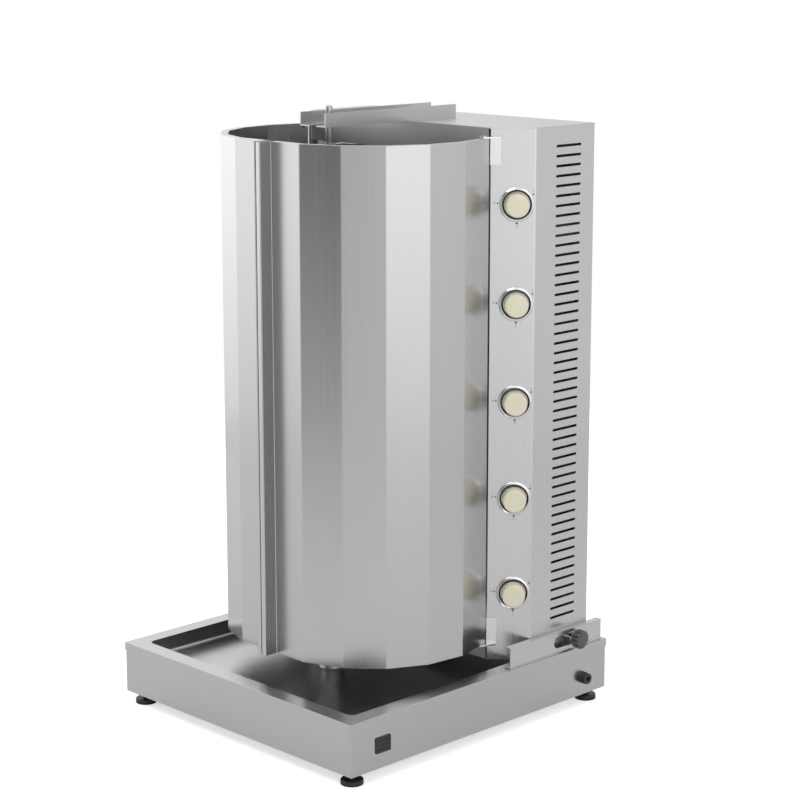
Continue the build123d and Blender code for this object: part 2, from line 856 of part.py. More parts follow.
def guide_arm():
    """Channel on the lid whose open fork guides the pin of the spit."""
    half = arm_width / 2
    y0 = spit_y - arm_overhang
    y1 = hinge_y + arm_on_cover
    arm = block(-half, half, y0, y1, body_top, body_top + arm_wall)
    arm -= block(-half + arm_sheet, half - arm_sheet, y0, y1, body_top + arm_sheet, body_top + arm_wall)
    width = spit_pin_radius + arm_slot_play
    rear = spit_y + slide_travel + arm_slot_play
    fork = block(-width, width, y0, rear, body_top, body_top + arm_sheet)
    return arm - fork - post(0, rear, body_top, body_top + arm_sheet, width)


# Switch and mains inlet


def switch_frame():
    x0 = tray_width / 2 - sheet
    dy, dz = switch_length / 2, switch_width / 2
    rim = block(x0, x0 + sheet, switch_y - dy - switch_rim, switch_y + dy + switch_rim,
                switch_z - dz - switch_rim, switch_z + dz + switch_rim)
    rim = fillet(rim.edges().filter_by(Axis.X), 2)
    dy, dz = dy - 0.1, dz - 0.1
    body = block(x0 - switch_depth, x0, switch_y - dy, switch_y + dy, switch_z - dz, switch_z + dz)
    dy, dz = dy - switch_wall, dz - switch_wall
    hole = block(x0 - switch_depth + switch_wall, x0 + switch_wall,
                 switch_y - dy, switch_y + dy, switch_z - dz, switch_z + dz)
    return rim + body - hole


def switch_rocker():
    """Rocker that tips about an axis along Z, pressed in at its front half at rest."""
    x = tray_width / 2 - sheet - rocker_pivot_depth
    dy = switch_length / 2 - 0.1 - switch_wall - rocker_gap
    dz = switch_width / 2 - 0.1 - switch_wall - rocker_gap
    dx = rocker_pivot_depth + rocker_low_end
    swing = radians(rocker_swing)
    high_x = dx * cos(swing) + dy * sin(swing)
    high_y = dy * cos(swing) - dx * sin(swing)
    back = x - rocker_pivot_depth
    points = [(back, switch_y - dy * 0.8), (x + dx, switch_y - dy), (x + dx + rocker_crown, switch_y),
              (x + high_x, switch_y + high_y), (back, switch_y + dy * 0.7)]
    rocker = prism(points, switch_z - dz, switch_z + dz)
    end = dz + 0.75 * rocker_gap
    return rocker + post(x, switch_y, switch_z - end, switch_z + end, rocker_pivot_radius)


def power_inlet():
    """Cable gland with its lock nut on the base wall. Its bore is empty."""
    x0 = tray_width / 2 - sheet
    inner = x0 - gland_inner_length
    outer = x0 + gland_nut_length + gland_cap_length
    half = gland_nut_length / 2
    nut = extrude(RegularPolygon(gland_radius + 2, 6), half, both=True)
    body = Pos(x0 + half, gland_y, gland_z) * Rot(0, 90, 0) * nut
    body += across(inner, x0, gland_y, gland_z, gland_radius - 2.1)
    body += across(x0 + gland_nut_length, outer, gland_y, gland_z, gland_radius)
    body += across(x0 - sheet - gland_lock_length, x0 - sheet, gland_y, gland_z, gland_radius + 2)
    return body - across(inner - 1, outer + 1, gland_y, gland_z, gland_bore_radius)


# Screws


def body_screws():
    """Screws of the lid's arm and of the back panel."""
    made = []
    for x in (-arm_screw_spread, arm_screw_spread):
        for y in (hinge_y + arm_screw_front, hinge_y + arm_on_cover - arm_screw_rear):
            made.append(fastener(Pos(x, y, body_top + arm_sheet)))
    step = (body_height - 2 * back_screw_margin) / (back_screw_rows - 1)
    for side in (-1, 1):
        x = side * (half_width - rear_return / 2 - 1)
        for n in range(back_screw_rows):
            z = body_z + back_screw_margin + n * step
            made.append(fastener(Pos(x, back_y, z) * Rot(-90, 0, 0)))
    return made


def base_screws():
    """Screws that hold the bottom plate against the base flange."""
    made = []
    reach = tray_depth / 2 - cover_screw_margin
    for side in (-1, 1):
        x = side * (tray_width / 2 - cover_screw_inset)
        for n in range(cover_screw_rows):
            y = -reach + n * 2 * reach / (cover_screw_rows - 1)
            made.append(fastener(Pos(x, y, foot_height) * Rot(180, 0, 0)))
    return made


def main():
    os.makedirs("parts", exist_ok=True)
    save("base_box", base_box())
    save("base_cover", base_cover())
    save("drip_tray", drip_tray())
    save("feet", *feet())
    save("guide_rail_right", guide_rail())
    save("guide_rail_left", mirrored(guide_rail()))
    save("drive_motor", drive_motor())
    save("motor_bracket", motor_bracket())
    save("drive_pinion", drive_pinion())
    save("drive_gear", drive_gear())
    save("spit_socket", spit_socket())
    save("socket_bearing", socket_bearing())
    save("power_inlet", power_inlet())
    save("switch_frame", switch_frame())
    save("switch_rocker", switch_rocker())
    save("base_screws", *base_screws())

    save("right_side_panel", right_panel())
    save("left_side_panel", left_panel())
    save("back_panel", back_panel())
    save("top_cover", top_cover())
    save("housing_floor", housing_floor())
    save("burner_rack", *burner_rack())
    save("ceramic_plaques", *ceramic_plaques())
    save("burner_guards", *burner_guards())
    save("gas_manifold", gas_manifold())
    save("gas_valves", *gas_valves())
    save("feed_pipes", *feed_pipes())
    save("gas_inlet", gas_inlet())
    save("guide_arm", guide_arm())
    save("body_screws", *body_screws())
    save("knob_bezels", *knob_bezels())
    plates = [hinge_plate(True), hinge_plate(False)]
    pins = [hinge_pin(True), hinge_pin(False)]
    save("hinge_plates", *plates, *[mirrored(p) for p in plates])
    save("hinge_pins", *pins, *[mirrored(p) for p in pins])
    save("clamp_studs", clamp_stud(), mirrored(clamp_stud()))
    for n, z in enumerate(tap_heights, start=1):
        save(f"burner_{n}", burner(z))
        save(f"knob_cap_{n}", knob_cap(z))
        save(f"valve_stem_{n}", valve_stem(z))
        save(f"push_collar_{n}", push_collar(z))

    save("door_right", door())
    save("door_left", mirrored(door()))
    save("clamp_knob_right", clamp_knob())
    save("clamp_knob_left", mirrored(clamp_knob()))
    save("spit", spit())
    save("meat_plate", meat_plate())


main()
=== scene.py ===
import math

import bpy
from mathutils import Matrix, Vector


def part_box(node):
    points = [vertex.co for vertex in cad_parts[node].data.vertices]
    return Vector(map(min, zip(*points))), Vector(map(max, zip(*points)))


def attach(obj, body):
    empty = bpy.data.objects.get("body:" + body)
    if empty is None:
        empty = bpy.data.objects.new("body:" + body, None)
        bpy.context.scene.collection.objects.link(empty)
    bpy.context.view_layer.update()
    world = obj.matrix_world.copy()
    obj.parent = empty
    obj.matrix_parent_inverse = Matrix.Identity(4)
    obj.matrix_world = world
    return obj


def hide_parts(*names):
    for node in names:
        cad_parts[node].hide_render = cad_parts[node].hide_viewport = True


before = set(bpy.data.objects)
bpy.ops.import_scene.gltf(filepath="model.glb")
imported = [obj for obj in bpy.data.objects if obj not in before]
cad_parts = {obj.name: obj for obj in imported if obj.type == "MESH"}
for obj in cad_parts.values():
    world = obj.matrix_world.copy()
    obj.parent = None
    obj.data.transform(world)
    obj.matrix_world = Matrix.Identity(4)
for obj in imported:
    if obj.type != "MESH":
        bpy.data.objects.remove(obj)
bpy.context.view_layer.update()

# Camera. It stands to the front right of the grill, above its lid, and looks down a little,
# with a long lens so that the upright folds stay almost parallel.
camera_place = (2.5446, -2.4231, 1.2722)
camera_down, camera_yaw = math.radians(11.198), math.radians(45.466)
bpy.ops.object.select_all(action="DESELECT")
bpy.ops.object.camera_add(location=camera_place,
                          rotation=(math.pi / 2 - camera_down, 0, camera_yaw))
camera = bpy.context.object
camera.name = "camera"
camera.data.lens = 97.33
camera.data.sensor_width = 36
camera.data.shift_y = -0.04
camera.data.clip_start = 0.1
bpy.context.scene.camera = camera
bpy.context.scene.view_settings.view_transform = "Standard"

# Studio. A white sweep of floor under the grill and a white room round it, which mirrors see too.
# The room lights the grill evenly from all sides.
room_strength, floor_radius, floor_grey, floor_lift = 0.62, 2.4, 0.82, 0.6


def shader_node(tree, kind, sockets=None, **settings):
    """A new node with its settings and the values of its sockets."""
    node = tree.nodes.new(kind)
    for key_name, value in settings.items():
        setattr(node, key_name, value)
    for socket, value in (sockets or {}).items():
        node.inputs[socket].default_value = value
    return node


def bare_material(name):
    """A new material with nothing in it."""
    material = bpy.data.materials.new(name)
    material.use_nodes = True
    material.node_tree.nodes.clear()
    return material


world = bpy.data.worlds.new("white_room")
bpy.context.scene.world = world
world.use_nodes = True
room = world.node_tree
room.nodes.clear()
room_out = shader_node(room, "ShaderNodeOutputWorld")
room_mix = shader_node(room, "ShaderNodeMixShader")
room_light = shader_node(room, "ShaderNodeBackground",
                         {"Color": (1, 1, 1, 1), "Strength": room_strength})
room_seen = shader_node(room, "ShaderNodeBackground", {"Color": (1, 1, 1, 1), "Strength": 1.0})
room_ray = shader_node(room, "ShaderNodeLightPath")
room_either = shader_node(room, "ShaderNodeMath", operation="MAXIMUM")
room_any = shader_node(room, "ShaderNodeMath", operation="MAXIMUM")
room.links.new(room_ray.outputs["Is Camera Ray"], room_either.inputs[0])
room.links.new(room_ray.outputs["Is Glossy Ray"], room_either.inputs[1])
room.links.new(room_either.outputs[0], room_any.inputs[0])
room.links.new(room_ray.outputs["Is Transmission Ray"], room_any.inputs[1])
room.links.new(room_any.outputs[0], room_mix.inputs["Fac"])
room.links.new(room_light.outputs[0], room_mix.inputs[1])
room.links.new(room_seen.outputs[0], room_mix.inputs[2])
room.links.new(room_mix.outputs[0], room_out.inputs["Surface"])

bpy.ops.object.select_all(action="DESELECT")
bpy.ops.mesh.primitive_circle_add(vertices=96, radius=floor_radius, fill_type="NGON",
                                  location=(0, 0, 0))
floor = bpy.context.object
floor.name = "studio_floor"
floor_paint = bare_material("studio_floor_paint")
paint_tree = floor_paint.node_tree
paint_out = shader_node(paint_tree, "ShaderNodeOutputMaterial")
paint_add = shader_node(paint_tree, "ShaderNodeAddShader")
paint = shader_node(paint_tree, "ShaderNodeBsdfDiffuse",
                    {"Color": (floor_grey, floor_grey, floor_grey, 1)})
paint_lift = shader_node(paint_tree, "ShaderNodeEmission")
paint_ray = shader_node(paint_tree, "ShaderNodeLightPath")
paint_share = shader_node(paint_tree, "ShaderNodeMath", {1: floor_lift}, operation="MULTIPLY")
paint_tree.links.new(paint_ray.outputs["Is Camera Ray"], paint_share.inputs[0])
paint_tree.links.new(paint_share.outputs[0], paint_lift.inputs["Strength"])
paint_tree.links.new(paint.outputs[0], paint_add.inputs[0])
paint_tree.links.new(paint_lift.outputs[0], paint_add.inputs[1])
paint_tree.links.new(paint_add.outputs[0], paint_out.inputs["Surface"])
floor.data.materials.append(floor_paint)

# Reflector screens. A ring of grey and white screens stands round the table, out of the picture,
# so that each fold of the steel mirrors its own tone. Left is at 270 degrees, front at 0. Near the
# floor the screens fade to one even grey.
screens_radius, screens_depth, screens_middle = 2.2, 2.6, 1.33
fade_height, tone_at_floor, fade_grey = 0.75, 0.35, 0.70
screen_tones = [(0, 0.14), (14, 0.20), (28, 0.38), (38, 0.58), (46, 0.94), (56, 1.15), (70, 1.35),
                (88, 1.35), (104, 1.00), (122, 0.74), (138, 0.78), (152, 0.72), (170, 0.72),
                (200, 0.80), (240, 1.00), (258, 1.40), (280, 1.55), (300, 1.40), (318, 1.35),
                (332, 0.90), (344, 0.40), (352, 0.20), (360, 0.14)]
bpy.ops.object.select_all(action="DESELECT")
bpy.ops.mesh.primitive_cylinder_add(vertices=96, radius=screens_radius, depth=screens_depth,
                                    end_fill_type="NOTHING", location=(0, 0, screens_middle))
screens = bpy.context.object
screens.name = "reflector_screens"
bpy.ops.object.transform_apply(location=True, rotation=True, scale=True)
screens.visible_camera = False
screens.visible_shadow = False
screen_paint = bare_material("reflector_screen_light")
screen_tree = screen_paint.node_tree
screen_out = shader_node(screen_tree, "ShaderNodeOutputMaterial")
screen_glow = shader_node(screen_tree, "ShaderNodeEmission")
screen_place = shader_node(screen_tree, "ShaderNodeTexCoord")
screen_turn = shader_node(screen_tree, "ShaderNodeMapping", {"Rotation": (0, 0, math.radians(-90))})
screen_angle = shader_node(screen_tree, "ShaderNodeTexGradient", gradient_type="RADIAL")
screen_ramp = shader_node(screen_tree, "ShaderNodeValToRGB")
screen_ramp.color_ramp.interpolation = "EASE"
while len(screen_ramp.color_ramp.elements) < len(screen_tones):
    screen_ramp.color_ramp.elements.new(0.5)
for element, (degrees, tone) in zip(screen_ramp.color_ramp.elements, screen_tones):
    element.position = degrees / 360
    element.color = (tone, tone, tone, 1)
screen_height = shader_node(screen_tree, "ShaderNodeSeparateXYZ")
screen_rise = shader_node(screen_tree, "ShaderNodeMapRange",
                          {"From Max": fade_height, "To Min": tone_at_floor})
screen_fade = shader_node(screen_tree, "ShaderNodeMix", {"A": (fade_grey, fade_grey, fade_grey, 1)},
                          data_type="RGBA")
screen_tree.links.new(screen_place.outputs["Object"], screen_turn.inputs["Vector"])
screen_tree.links.new(screen_turn.outputs[0], screen_angle.inputs[0])
screen_tree.links.new(screen_angle.outputs["Fac"], screen_ramp.inputs[0])
screen_tree.links.new(screen_place.outputs["Object"], screen_height.inputs[0])
screen_tree.links.new(screen_height.outputs["Z"], screen_rise.inputs["Value"])
screen_tree.links.new(screen_rise.outputs["Result"], screen_fade.inputs["Factor"])
screen_tree.links.new(screen_ramp.outputs["Color"], screen_fade.inputs["B"])
screen_tree.links.new(screen_fade.outputs["Result"], screen_glow.inputs["Color"])
screen_tree.links.new(screen_glow.outputs[0], screen_out.inputs["Surface"])
screens.data.materials.append(screen_paint)

# Overhead panel. One wide soft light hangs over the table, in front of the grill and to its
# right, and gives the edges of the sheets their light.
panel_light_place, panel_light_aim = Vector((0.6, -1.7, 2.6)), Vector((0, 0, 0.5))
bpy.ops.object.select_all(action="DESELECT")
bpy.ops.object.light_add(type="AREA", location=panel_light_place)
overhead = bpy.context.object
overhead.name = "overhead_panel"
overhead.data.shape = "RECTANGLE"
overhead.data.size, overhead.data.size_y = 1.6, 1.2
overhead.data.energy = 16
overhead_aim = panel_light_aim - overhead.location
overhead.rotation_euler = overhead_aim.to_track_quat("-Z", "Y").to_euler()

# Brushed stainless steel sheet. The skins of the grill are 1.2 and 1.5 mm sheet with a fine
# brushed grain, which runs upright on the folds and along the rails of the tray.
grain_across, grain_along = 1300.0, 6.0
upright_grain = (grain_across, grain_across, grain_along)
grain_along_x = (grain_along, grain_across, grain_across)
grain_along_y = (grain_across, grain_along, grain_across)


def effect_group(name, inputs, outputs):
    """A shader node group with these sockets, and its nodes for what comes in and goes out."""
    group = bpy.data.node_groups.new(name, "ShaderNodeTree")
    for way, sockets in (("INPUT", inputs), ("OUTPUT", outputs)):
        for socket, kind in sockets:
            group.interface.new_socket(name=socket, in_out=way, socket_type=f"NodeSocket{kind}")
    return group, group.nodes.new("NodeGroupInput"), group.nodes.new("NodeGroupOutput")


grain, grain_in, grain_out = effect_group(
    "brushed_grain",
    [("Vector", "Vector"), ("Grain Scale", "Vector"), ("Metal", "Color"), ("Streaks", "Float"),
     ("Roughness", "Float"), ("Depth", "Float")],
    [("Color", "Color"), ("Roughness", "Float"), ("Normal", "Vector")])
stretch = shader_node(grain, "ShaderNodeVectorMath", operation="MULTIPLY")
fine = shader_node(grain, "ShaderNodeTexNoise", {"Scale": 1.0, "Detail": 4.0})
broad_stretch = shader_node(grain, "ShaderNodeVectorMath", {"Scale": 0.11}, operation="SCALE")
broad = shader_node(grain, "ShaderNodeTexNoise", {"Scale": 1.0, "Detail": 2.0})
cloud = shader_node(grain, "ShaderNodeTexNoise", {"Scale": 5.0, "Detail": 3.0})
both = shader_node(grain, "ShaderNodeMix", {"Factor": 0.35}, data_type="FLOAT")
spread = shader_node(grain, "ShaderNodeMapRange",
                     {"From Min": 0.3, "From Max": 0.7, "To Min": -0.5, "To Max": 0.5})
strength = shader_node(grain, "ShaderNodeMath", {2: 1.0}, operation="MULTIPLY_ADD")
tone = shader_node(grain, "ShaderNodeVectorMath", operation="SCALE")
rough_grain = shader_node(grain, "ShaderNodeMath", {1: 0.06}, operation="MULTIPLY_ADD")
rough_cloud = shader_node(grain, "ShaderNodeMath", {1: 0.05}, operation="MULTIPLY_ADD")
relief = shader_node(grain, "ShaderNodeBump", {"Distance": 0.0002})
grain.links.new(grain_in.outputs["Vector"], stretch.inputs[0])
grain.links.new(grain_in.outputs["Grain Scale"], stretch.inputs[1])
grain.links.new(stretch.outputs[0], fine.inputs["Vector"])
grain.links.new(stretch.outputs[0], broad_stretch.inputs[0])
grain.links.new(broad_stretch.outputs[0], broad.inputs["Vector"])
grain.links.new(grain_in.outputs["Vector"], cloud.inputs["Vector"])
grain.links.new(fine.outputs["Fac"], both.inputs["A"])
grain.links.new(broad.outputs["Fac"], both.inputs["B"])
grain.links.new(both.outputs["Result"], spread.inputs["Value"])
grain.links.new(spread.outputs["Result"], strength.inputs[0])
grain.links.new(grain_in.outputs["Streaks"], strength.inputs[1])
grain.links.new(grain_in.outputs["Metal"], tone.inputs[0])
grain.links.new(strength.outputs[0], tone.inputs["Scale"])
grain.links.new(tone.outputs[0], grain_out.inputs["Color"])
grain.links.new(spread.outputs["Result"], rough_grain.inputs[0])
grain.links.new(grain_in.outputs["Roughness"], rough_grain.inputs[2])
grain.links.new(cloud.outputs["Fac"], rough_cloud.inputs[0])
grain.links.new(rough_grain.outputs[0], rough_cloud.inputs[2])
grain.links.new(rough_cloud.outputs[0], grain_out.inputs["Roughness"])
grain.links.new(both.outputs["Result"], relief.inputs["Height"])
grain.links.new(grain_in.outputs["Depth"], relief.inputs["Strength"])
grain.links.new(relief.outputs["Normal"], grain_out.inputs["Normal"])


def effect_material(name, effect, values):
    """A material with the colour, roughness and normal of a shared effect, and its surface."""
    material = bpy.data.materials.new(name)
    material.use_nodes = True
    tree = material.node_tree
    surface = tree.nodes["Principled BSDF"]
    place = shader_node(tree, "ShaderNodeTexCoord")
    look = shader_node(tree, "ShaderNodeGroup", values, node_tree=effect)
    tree.links.new(place.outputs["Object"], look.inputs["Vector"])
    tree.links.new(look.outputs["Color"], surface.inputs["Base Color"])
    tree.links.new(look.outputs["Roughness"], surface.inputs["Roughness"])
    tree.links.new(look.outputs["Normal"], surface.inputs["Normal"])
    return material, surface


def brushed_metal(name, metal, roughness, grain_scale, streaks=0.05, depth=0.03, stretched=0.0):
    """A metal with a brushed or turned grain. The grain is long where its scale is small."""
    material, surface = effect_material(name, grain, {
        "Grain Scale": grain_scale, "Metal": (*metal, 1), "Streaks": streaks,
        "Roughness": roughness, "Depth": depth})
    surface.inputs["Metallic"].default_value = 1.0
    surface.inputs["Anisotropic"].default_value = stretched
    return material


door_steel = brushed_metal("door_steel", (0.595, 0.597, 0.60), 0.22, upright_grain, stretched=0.5)
# The grip steel is a darker copy of the door steel, a painted dark reflection on the outer sides of
# the grips.
grip_painted_reflection_steel = brushed_metal("grip_painted_reflection_steel", (0.34, 0.34, 0.34), 0.24, upright_grain)
body_steel = brushed_metal("body_steel", (0.66, 0.662, 0.665), 0.26, upright_grain, streaks=0.03,
                           stretched=0.5)
lid_steel = brushed_metal("lid_steel", (0.62, 0.62, 0.62), 0.30, grain_along_x)
tray_steel = brushed_metal("tray_steel", (0.58, 0.58, 0.58), 0.22, grain_along_y)
rail_steel = brushed_metal("rail_steel", (0.64, 0.64, 0.64), 0.26, grain_along_y)

# Heat shield doors. Each is one sheet folded into six upright facets, with a box grip at the seam
# and a turned-in flange at top and bottom. The two meet at the seam in front of the spit.
hinge_x, hinge_y = 0.211735, 0.0715
first_facet, last_facet, fold = 0.0755, 0.0805, math.radians(21)
grip_width, grip_depth, grip_return, half_seam = 0.010, 0.0235, 0.008, 0.0008
door_sheet, door_flange, door_end_gap, fold_radius = 0.0012, 0.012, 0.003, 0.0016
fold_edge, flush, near = 0.0003, 0.0002, 0.00001
door_low, door_high = (corner.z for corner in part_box("door_right"))

middle_facet = (hinge_x - first_facet - last_facet * math.cos(5 * fold)) / sum(
    math.cos(n * fold) for n in range(1, 5))
lengths = [first_facet, *[middle_facet] * 4, last_facet - door_end_gap]
run = [(0.0, 0.0)]
for n, length in enumerate(lengths):
    run.append((run[-1][0] + length * math.cos(n * fold), run[-1][1] + length * math.sin(n * fold)))
front_y = hinge_y - run[-1][1] - door_end_gap * math.sin(5 * fold)
grip_side = half_seam + grip_width
facet_run = [(grip_side, front_y)] + [(x, y + front_y) for x, y in run[1:]]
door_run = [(half_seam, front_y + grip_return), (half_seam, front_y - grip_depth),
            (grip_side, front_y - grip_depth)] + facet_run


def inner_run(points, wall):
    """The run moved to its left by a wall, with mitred corners."""
    moved = []
    for n, point in enumerate(points):
        sides = []
        for a, b in ((n - 1, n), (n, n + 1)):
            if a >= 0 and b < len(points):
                step = Vector(points[b]) - Vector(points[a])
                sides.append(Vector((-step.y, step.x)).normalized())
        middle = sum(sides, Vector((0, 0))).normalized()
        moved.append(tuple(Vector(point) + middle * (wall / middle.dot(sides[0]))))
    return moved


def pick(piece, kind, test):
    """Select just the vertices or edges whose ends pass the test, and go into edit mode."""
    bpy.ops.object.select_all(action="DESELECT")
    piece.select_set(True)
    bpy.context.view_layer.objects.active = piece
    bpy.ops.object.mode_set(mode="EDIT")
    bpy.ops.mesh.select_mode(type=kind)
    bpy.ops.mesh.select_all(action="DESELECT")
    bpy.ops.object.mode_set(mode="OBJECT")
    mesh = piece.data
    if kind == "VERT":
        for v in mesh.vertices:
            v.select = test(v.co)
    else:
        for edge in mesh.edges:
            edge.select = test(*[mesh.vertices[i].co for i in edge.vertices])
    bpy.ops.object.mode_set(mode="EDIT")


def settled(name, scale=(1, 1, 1)):
    """The primitive that was just added, named and scaled, with its place in its mesh."""
    piece = bpy.context.object
    piece.name = piece.data.name = name
    piece.scale = scale
    bpy.ops.object.transform_apply(location=True, rotation=True, scale=True)
    return piece


def upright_edge(name, point, low, high):
    """An object with one upright edge, selected in edit mode, ready to be drawn out."""
    size = high - low
    bpy.ops.object.select_all(action="DESELECT")
    bpy.ops.mesh.primitive_plane_add(size=size, rotation=(math.pi / 2, 0, 0),
                                     location=(point[0] + size / 2, point[1], (low + high) / 2))
    piece = settled(name)
    pick(piece, "VERT", lambda co: co.x > point[0] + size / 2)
    bpy.ops.mesh.delete(type="VERT")
    bpy.ops.mesh.select_mode(type="EDGE")
    bpy.ops.mesh.select_all(action="SELECT")
    return piece


def apply_modifier(piece, kind, **values):
    """Add one modifier with these values, and apply it."""
    bpy.context.view_layer.objects.active = piece
    bpy.ops.object.modifier_add(type=kind)
    modifier = piece.modifiers[-1]
    for key_name, value in values.items():
        setattr(modifier, key_name, value)
    bpy.ops.object.modifier_apply(modifier=modifier.name)


def round_edges(piece, width, angle):
    """Round the edges whose faces meet at more than this angle."""
    apply_modifier(piece, "BEVEL", width=width, segments=2, limit_method="ANGLE",
                   angle_limit=math.radians(angle))


def finish_shading(piece, angle=32):
    """Smooth over the rounded folds and flat on the panels."""
    bpy.ops.object.select_all(action="DESELECT")
    piece.select_set(True)
    bpy.context.view_layer.objects.active = piece
    bpy.ops.object.shade_smooth_by_angle(angle=math.radians(angle))
    apply_modifier(piece, "WEIGHTED_NORMAL", keep_sharp=True, weight=80)


def folded_sheet(name, points, low, high, wall, radius):
    """A sheet drawn out along its folds, with rounded bends and its wall on the run's left."""
    piece = upright_edge(name, points[0], low, high)
    for a, b in zip(points, points[1:]):
        bpy.ops.mesh.extrude_edges_move(
            TRANSFORM_OT_translate={"value": (b[0] - a[0], b[1] - a[1], 0)})
    bpy.ops.object.mode_set(mode="OBJECT")
    corners = [Vector(p) for p in points[1:-1]]
    pick(piece, "EDGE", lambda a, b: (abs(a.z - b.z) > wall / 2
                                      and any((a.xy - c).length < near for c in corners)))
    bpy.ops.mesh.bevel(offset=radius, offset_type="OFFSET", segments=3, affect="EDGES")
    bpy.ops.object.mode_set(mode="OBJECT")
    middle = (Vector(points[0]) + Vector(points[1])) / 2
    first = min(piece.data.polygons, key=lambda face: (face.center.xy - middle).length)
    step = Vector(points[1]) - Vector(points[0])
    outward = Vector((step.y, -step.x, 0))
    offset = -1 if first.normal.dot(outward) > 0 else 1
    apply_modifier(piece, "SOLIDIFY", thickness=wall, offset=offset, use_even_offset=True)
    return piece


def draw_up(piece, height):
    """Draw a flat face up into a solid."""
    bpy.ops.object.mode_set(mode="EDIT")
    bpy.ops.mesh.select_all(action="SELECT")
    bpy.ops.mesh.extrude_region_move(TRANSFORM_OT_translate={"value": (0, 0, height)})
    bpy.ops.mesh.select_all(action="SELECT")
    bpy.ops.mesh.normals_make_consistent(inside=False)
    bpy.ops.object.mode_set(mode="OBJECT")


def flat_plate(name, outline, low, high):
    """A flat plate cut to an outline, drawn out to its thickness."""
    bpy.ops.object.select_all(action="DESELECT")
    bpy.ops.mesh.primitive_circle_add(vertices=len(outline), fill_type="NGON", location=(0, 0, low))
    piece = settled(name)
    for v, (x, y) in zip(piece.data.vertices, outline):
        v.co.xy = (x, y)
    draw_up(piece, high - low)
    return piece


def join(first, *others):
    """Several shells welded into one piece."""
    bpy.ops.object.select_all(action="DESELECT")
    for piece in (first, *others):
        piece.select_set(True)
    bpy.context.view_layer.objects.active = first
    bpy.ops.object.join()
    return first


def copied_piece(piece, name):
    """The same piece made again, with a mesh of its own."""
    bpy.ops.object.select_all(action="DESELECT")
    twin = piece.copy()
    twin.data = piece.data.copy()
    twin.name = twin.data.name = name
    bpy.context.scene.collection.objects.link(twin)
    return twin


def mirrored_piece(piece, name):
    """The same piece made for the other side."""
    twin = copied_piece(piece, name)
    for v in twin.data.vertices:
        v.co.x = -v.co.x
    twin.select_set(True)
    bpy.context.view_layer.objects.active = twin
    bpy.ops.object.mode_set(mode="EDIT")
    bpy.ops.mesh.select_all(action="SELECT")
    bpy.ops.mesh.flip_normals()
    bpy.ops.object.mode_set(mode="OBJECT")
    return twin


def dress(piece, material):
    """Give a piece one material all over."""
    piece.data.materials.clear()
    piece.data.materials.append(material)


def dress_faces(piece, material, test):
    """Give the faces that pass the test a second material."""
    piece.data.materials.append(material)
    for face in piece.data.polygons:
        face.material_index = 1 if test(face) else 0


def place_piece(piece, material, body, slot, *nodes):
    """Give a finished piece its material, its body and the solids it stands for. The slot is not
    used.
    """
    dress(piece, material)
    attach(piece, body)
    if nodes:
        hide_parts(*nodes)


def on_grip_side(face):
    """True for the faces of a shield that are the outer side of its grip, which take a darker steel
    as a painted dark reflection.
    """
    return abs(face.normal.x) > 0.9 and abs(abs(face.center.x) - grip_side) < flush


shield = folded_sheet("heat_shield_right", door_run, door_low, door_high, door_sheet, fold_radius)
flange_run = inner_run(facet_run, door_sheet / 2)
flange_outline = flange_run + inner_run(flange_run, door_flange - door_sheet / 2)[::-1]
rims = [flat_plate("shield_rim", flange_outline, low, low + door_sheet)
        for low in (door_low, door_high - door_sheet)]
shield = join(shield, *rims)
round_edges(shield, fold_edge, 60)
shield_left = mirrored_piece(shield, "heat_shield_left")
finish_shading(shield)
finish_shading(shield_left)
place_piece(shield, door_steel, "door_right", "stainless_sheet", "door_right")
place_piece(shield_left, door_steel, "door_left", "stainless_sheet", "door_left")
# The outer sides of the grips take the darker grip steel, a painted dark reflection.
for door_piece in (shield, shield_left):
    dress_faces(door_piece, grip_painted_reflection_steel, on_grip_side)

# Housing sides. Each is one 1.5 mm sheet with a jamb for the door, a knob panel folded at 45
# degrees, a slotted side and a return for the back. Fifty punched slots let the heat out.
half_width, corner_y, back_y = 0.263, 0.122765, 0.2653
sheet, jamb, rear_return, side_radius = 0.0015, 0.014, 0.012, 0.0018
panel_low, panel_high = (corner.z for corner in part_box("right_side_panel"))
slot_middle, slot_half, slot_radius = corner_y + 0.0786, 0.02785, 0.00215
slot_round, first_slot, slot_pitch, slot_count = 0.999 * slot_radius, 0.1658, 0.016, 50
side_run = [(hinge_x, hinge_y + jamb), (hinge_x, hinge_y), (half_width, corner_y),
            (half_width, back_y - sheet), (half_width - rear_return, back_y - sheet)]
side = folded_sheet("housing_side_right", side_run, panel_low, panel_high, sheet, side_radius)

bpy.ops.object.select_all(action="DESELECT")
bpy.ops.mesh.primitive_cube_add(size=1, location=(half_width, slot_middle, first_slot))
punch = settled("slot_punch", (4 * sheet, 2 * (slot_half + slot_radius), 2 * slot_radius))
pick(punch, "EDGE", lambda a, b: abs(a.x - b.x) > sheet)
bpy.ops.mesh.bevel(offset=slot_round, segments=4, affect="EDGES")
bpy.ops.object.mode_set(mode="OBJECT")
apply_modifier(punch, "ARRAY", count=slot_count, use_relative_offset=False,
               use_constant_offset=True, constant_offset_displace=(0, 0, slot_pitch))
apply_modifier(side, "BOOLEAN", operation="DIFFERENCE", object=punch, solver="EXACT")
bpy.data.objects.remove(punch)
side_left = mirrored_piece(side, "housing_side_left")
finish_shading(side)
finish_shading(side_left)
place_piece(side, body_steel, "housing", "stainless_sheet", "right_side_panel")
place_piece(side_left, body_steel, "housing", "stainless_sheet", "left_side_panel")
